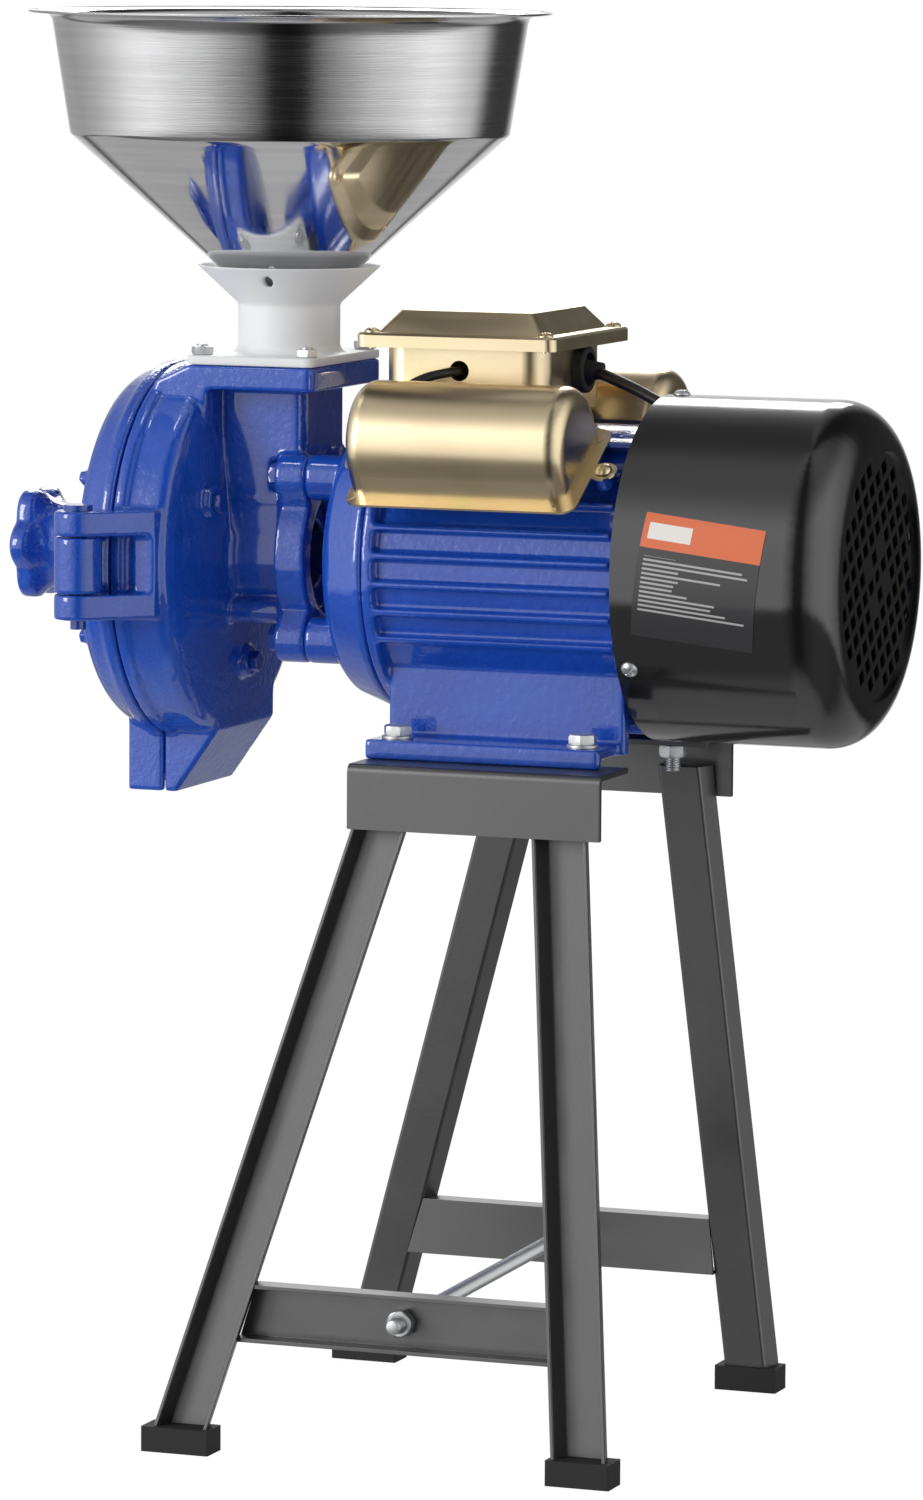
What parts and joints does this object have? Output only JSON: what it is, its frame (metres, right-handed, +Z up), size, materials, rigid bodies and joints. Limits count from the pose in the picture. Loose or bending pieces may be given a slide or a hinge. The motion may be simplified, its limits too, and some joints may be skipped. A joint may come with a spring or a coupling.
{
  "type": "electric disc mill",
  "caption": "Electric disc mill for grain on a four-legged stand, with a hopper, a hinged grinding chamber, an adjusting handwheel and a motor with two capacitor covers.",
  "frame": {"origin": "middle of the outer box at floor level", "axes": "+Z up, +X along the motor shaft from the mill to the fan, -Y the side with the chamber's hinge"},
  "size_m": [0.4688, 0.2826, 0.7312],
  "materials": {
    "blue_enamel": "gloss",
    "blue_hardware": "gloss",
    "black_enamel": "gloss",
    "black_frame_paint": "satin",
    "grey_casting": "satin",
    "gold_plated_steel": "satin",
    "stainless": "satin",
    "zinc": "satin",
    "cast_burr": "rough",
    "dark_steel": "satin",
    "copper_winding": "satin",
    "fan_plastic": "matte",
    "black_rubber": "matte",
    "label_film": "gloss",
    "light_plastic": "matte"
  },
  "bodies": {
    "stand_motor_mill": {"front_top_angle": "black_frame_paint", "rear_top_angle": "black_frame_paint", "leg_front_left": "black_frame_paint", "leg_front_right": "black_frame_paint", "leg_rear_left": "black_frame_paint", "leg_rear_right": "black_frame_paint", "foot_cap_front_left": "black_rubber", "foot_cap_front_right": "black_rubber", "foot_cap_rear_left": "black_rubber", "foot_cap_rear_right": "black_rubber", "front_stretcher": "black_frame_paint", "rear_stretcher": "black_frame_paint", "tie_rod": "zinc", "tie_rod_nuts": "zinc", "motor_frame": "blue_enamel", "drive_end_shield": "blue_enamel", "fan_end_shield": "blue_enamel", "stator_core": "dark_steel", "stator_windings": "copper_winding", "drive_end_bearing": "dark_steel", "fan_end_bearing": "dark_steel", "fan_cover": "black_enamel", "fan_cover_screws": "zinc", "rating_label": "label_film", "terminal_box": "gold_plated_steel", "terminal_box_lid": "gold_plated_steel", "lid_screws": "gold_plated_steel", "terminal_block": "fan_plastic", "lead_grommet": "black_rubber", "switch_lead": "black_rubber", "front_capacitor_cover": "gold_plated_steel", "rear_capacitor_cover": "gold_plated_steel", "capacitor_cover_screws": "gold_plated_steel", "front_capacitor": "light_plastic", "rear_capacitor": "light_plastic", "capacitor_leads": "black_rubber", "motor_foot_bolts": "zinc", "motor_foot_nuts": "zinc", "mill_housing": "blue_enamel", "hinge_pin": "blue_hardware", "coupling_bolts": "blue_hardware", "burr_bolts": "blue_hardware", "fixed_burr": "cast_burr", "shaft_seal": "black_rubber", "feed_funnel": "grey_casting", "funnel_bolts": "zinc"},
    "rotor": {"motor_shaft": "dark_steel", "rotor_core": "dark_steel", "cooling_fan": "fan_plastic", "centrifugal_switch": "fan_plastic", "feed_auger": "cast_burr", "burr_carrier": "cast_burr", "rotating_burr": "cast_burr"},
    "door": {"mill_door": "blue_enamel"},
    "thrust_pad": {"thrust_pad": "dark_steel"},
    "handwheel": {"handwheel": "blue_enamel", "adjusting_screw": "dark_steel"},
    "clamp_washer": {"clamp_washer": "zinc"},
    "clamp_knob": {"clamp_knob": "black_frame_paint"},
    "hopper": {"hopper": "stainless"}
  },
  "joints": [
    {"name": "door_swing", "type": "hinge", "parent": "stand_motor_mill", "child": "door", "pos_m": [-0.15805, -0.1145, 0.4507], "axis": [0, 0, 1], "range_deg": [0, 120]},
    {"name": "rotor_spin", "type": "hinge", "parent": "stand_motor_mill", "child": "rotor", "pos_m": [0.04995, 0, 0.4507], "axis": [1, 0, 0], "continuous": true},
    {"name": "adjuster_travel", "type": "slide", "parent": "door", "child": "thrust_pad", "axis": [-1, 0, 0], "range_m": [0, 0.006]},
    {"name": "handwheel_turn", "type": "hinge", "parent": "thrust_pad", "child": "handwheel", "pos_m": [-0.21005, 0, 0.4507], "axis": [-1, 0, 0], "range_deg": [0, 1080]},
    {"name": "clamp_travel", "type": "slide", "parent": "door", "child": "clamp_washer", "axis": [-1, 0, 0], "range_m": [0, 0.005]},
    {"name": "clamp_turn", "type": "hinge", "parent": "clamp_washer", "child": "clamp_knob", "pos_m": [-0.17505, 0.112, 0.4507], "axis": [-1, 0, 0], "range_deg": [0, 1440]},
    {"name": "hopper_lift", "type": "slide", "parent": "stand_motor_mill", "child": "hopper", "axis": [0, 0, 1], "range_m": [0, 0.12]}
  ],
  "couplings": [
    {"joint": "adjuster_travel", "follows": "handwheel_turn", "m_per_rad": 0.00031831},
    {"joint": "clamp_travel", "follows": "clamp_turn", "m_per_rad": 0.00019894}
  ]
}
